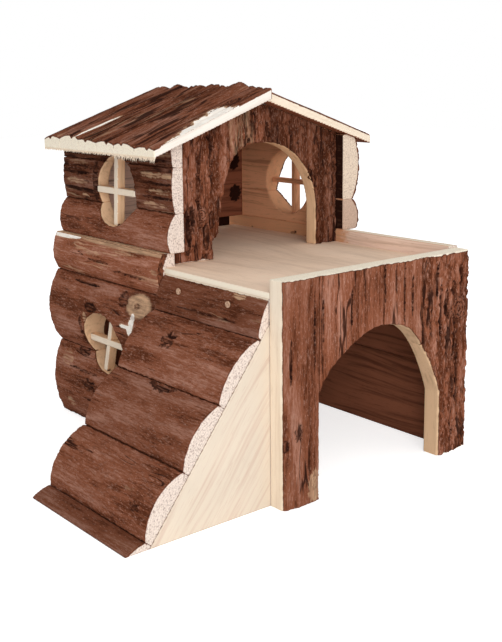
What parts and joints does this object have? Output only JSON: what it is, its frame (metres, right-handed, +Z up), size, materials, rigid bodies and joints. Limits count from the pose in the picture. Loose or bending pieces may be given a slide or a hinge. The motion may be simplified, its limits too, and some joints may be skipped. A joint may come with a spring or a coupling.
{
  "type": "rodent house",
  "caption": "Two-storey bark-slab rodent house with a front doorway, a side ramp up to a plywood deck and a gabled upper room with round barred windows.",
  "frame": {"origin": "middle of the house's box on the floor: the bottom centre of the whole part's bounding box", "axes": "-Y is the front with the two doorways, +X is to the right seen from the front so the ramp goes down towards -X, +Z is up"},
  "size_m": [0.3192, 0.289, 0.2776],
  "materials": {
    "bark_log": "half-round log slabs with rough dark red-brown bark outside and pale sawn wood inside",
    "sawn_wood": "bare pale sawn softwood, matt",
    "plywood": "bare pinkish-tan plywood sheet, matt",
    "nail_steel": "plain steel wire nails, dull"
  },
  "bodies": {
    "root": {"back_wall_board_1": "bark_log", "back_wall_board_2": "bark_log", "back_wall_board_3": "bark_log", "back_wall_board_4": "bark_log", "deck": "plywood", "deck_batten_left": "sawn_wood", "deck_batten_right": "sawn_wood", "deck_rail": "sawn_wood", "fascia_nails": "nail_steel", "front_wall_board_1": "bark_log", "front_wall_board_2": "bark_log", "front_wall_board_3": "bark_log", "front_wall_board_4": "bark_log", "gable_board_1": "bark_log", "gable_board_2": "bark_log", "left_kerb_slab": "bark_log", "left_wall_slab_1": "bark_log", "left_wall_slab_2": "bark_log", "lower_left_window_bar_level": "sawn_wood", "lower_left_window_bar_upright": "sawn_wood", "ramp_fascia": "bark_log", "ramp_foot_slab": "bark_log", "ramp_side_board_back": "sawn_wood", "ramp_side_board_front": "sawn_wood", "ramp_step_1": "bark_log", "ramp_step_2": "bark_log", "ramp_step_3": "bark_log", "right_kerb_slab": "bark_log", "right_wall_slab_1": "bark_log", "right_wall_slab_2": "bark_log", "roof_left_slab_1": "bark_log", "roof_left_slab_2": "bark_log", "roof_left_slab_3": "bark_log", "roof_left_slab_4": "bark_log", "roof_left_slab_5": "bark_log", "roof_left_slab_6": "bark_log", "roof_right_slab_1": "bark_log", "roof_right_slab_2": "bark_log", "roof_right_slab_3": "bark_log", "roof_right_slab_4": "bark_log", "roof_right_slab_5": "bark_log", "roof_right_slab_6": "bark_log", "upper_back_slab_1": "bark_log", "upper_back_slab_2": "bark_log", "upper_back_slab_3": "bark_log", "upper_left_slab_1": "bark_log", "upper_left_slab_2_back": "bark_log", "upper_left_slab_2_front": "bark_log", "upper_left_slab_3": "bark_log", "upper_left_window_bar_level": "sawn_wood", "upper_left_window_bar_upright": "sawn_wood", "upper_right_slab_1": "bark_log", "upper_right_slab_2": "bark_log", "upper_right_window_bar_level": "sawn_wood", "upper_right_window_bar_upright": "sawn_wood"}
  },
  "joints": []
}
